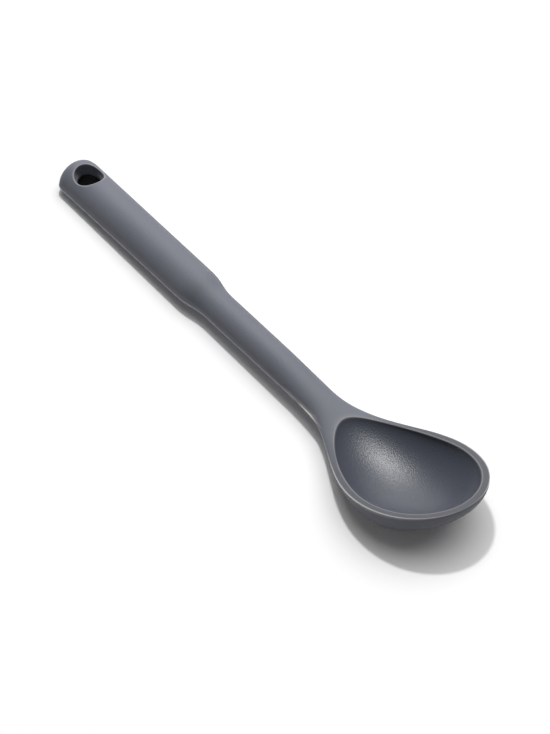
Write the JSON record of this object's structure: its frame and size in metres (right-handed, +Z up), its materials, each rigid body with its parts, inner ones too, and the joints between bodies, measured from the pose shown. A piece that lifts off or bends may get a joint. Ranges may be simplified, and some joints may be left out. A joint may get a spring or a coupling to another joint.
{
  "type": "silicone spoon",
  "caption": "Silicone cooking spoon with an oval, upturned bowl, a slim shaft and a thicker grip with a hanging hole through its end, moulded over a stiff core.",
  "frame": {"origin": "on the table that the spoon rests on, under the middle of its length and width", "axes": "+X along the spoon from the end of the handle to the tip of the bowl, +Y across it, +Z up out of the open side of the bowl"},
  "size_m": [0.2996, 0.0622, 0.0277],
  "materials": {
    "nylon": "black, lightly satin moulded nylon",
    "silicone": "slate grey silicone, matte with a soft sheen"
  },
  "bodies": {
    "root": {"core": "nylon", "silicone_body": "silicone"}
  },
  "joints": []
}
